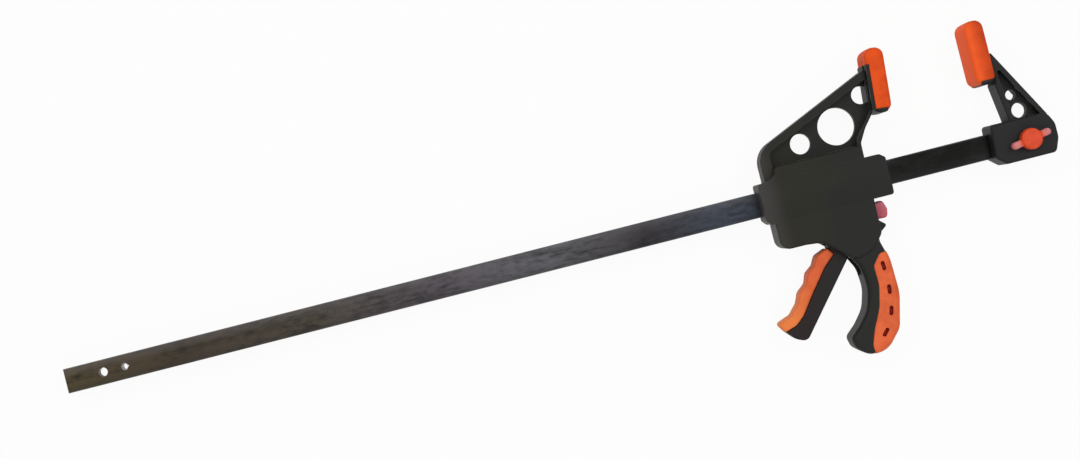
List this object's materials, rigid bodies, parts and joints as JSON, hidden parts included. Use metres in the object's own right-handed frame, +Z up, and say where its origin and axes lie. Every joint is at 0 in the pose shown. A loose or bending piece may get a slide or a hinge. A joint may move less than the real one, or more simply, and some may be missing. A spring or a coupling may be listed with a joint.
{
  "type": "quick clamp",
  "caption": "One-handed bar clamp: a flat steel bar with a fixed jaw at its end and a sliding head with jaw, pistol handle, trigger and release button; soft pads.",
  "frame": {"origin": "on the surface that the clamp lies on, under the middle of its overall box", "axes": "+X along the bar towards the fixed jaw, +Y from the bar towards the jaw tips, +Z up"},
  "size_m": [0.8188, 0.239, 0.0392],
  "materials": {
    "bar_steel": "dark oiled finish with fine lengthwise grain",
    "body_plastic": "fine moulded texture",
    "orange_pad": "soft matt pad",
    "orange_grip": "soft matt overmould",
    "red_button": "smooth moulded",
    "orange_knob": "smooth moulded",
    "plain_steel": "plain ground steel",
    "spring_steel": "drawn wire"
  },
  "bodies": {
    "bar_and_fixed_jaw": {"bar": "bar_steel", "stop_pin": "plain_steel", "fixed_jaw": "body_plastic", "fixed_pad": "orange_pad", "lock_washer": "plain_steel"},
    "head": {"body_shell_front": "body_plastic", "body_shell_rear": "body_plastic", "shell_screws": "plain_steel", "movable_pad": "orange_pad", "palm_grip_front": "orange_grip", "palm_grip_rear": "orange_grip", "trigger_pivot_pin": "plain_steel", "brake_pin": "plain_steel", "drive_spring": "spring_steel", "brake_spring": "spring_steel"},
    "trigger_lever": {"trigger": "body_plastic", "trigger_grip": "orange_grip"},
    "drive_plates": {"drive_plate_1": "plain_steel", "drive_plate_2": "plain_steel", "spring_washer": "plain_steel"},
    "brake": {"brake_plate": "plain_steel", "release_button": "red_button"},
    "lock": {"lock_pin": "plain_steel", "lock_clip": "spring_steel", "lock_knob": "orange_knob"}
  },
  "joints": [
    {"name": "head_slide", "type": "slide", "parent": "bar_and_fixed_jaw", "child": "head", "axis": [1, 0, 0], "range_m": [-0.523, 0.0659]},
    {"name": "trigger_squeeze", "type": "hinge", "parent": "head", "child": "trigger_lever", "pos_m": [0.22654, -0.01469, 0.017], "axis": [0, 0, 1], "range_deg": [0, 17], "stiffness_Nm_per_rad": 2},
    {"name": "drive_advance", "type": "slide", "parent": "head", "child": "drive_plates", "axis": [-1, 0, 0], "range_m": [0, 0.0043], "deforming": ["drive_spring"]},
    {"name": "brake_release", "type": "hinge", "parent": "head", "child": "brake", "pos_m": [0.24453, 0.03578, 0.017], "axis": [0, 0, -1], "range_deg": [0, 5], "stiffness_Nm_per_rad": 1.5, "deforming": ["brake_spring"]},
    {"name": "lock_turn", "type": "hinge", "parent": "bar_and_fixed_jaw", "child": "lock", "pos_m": [0.38595, 0.01649, 0.017], "axis": [0, 0, 1], "range_deg": [0, 90]}
  ],
  "couplings": [
    {"joint": "drive_advance", "follows": "trigger_squeeze", "m_per_rad": 0.01423}
  ]
}
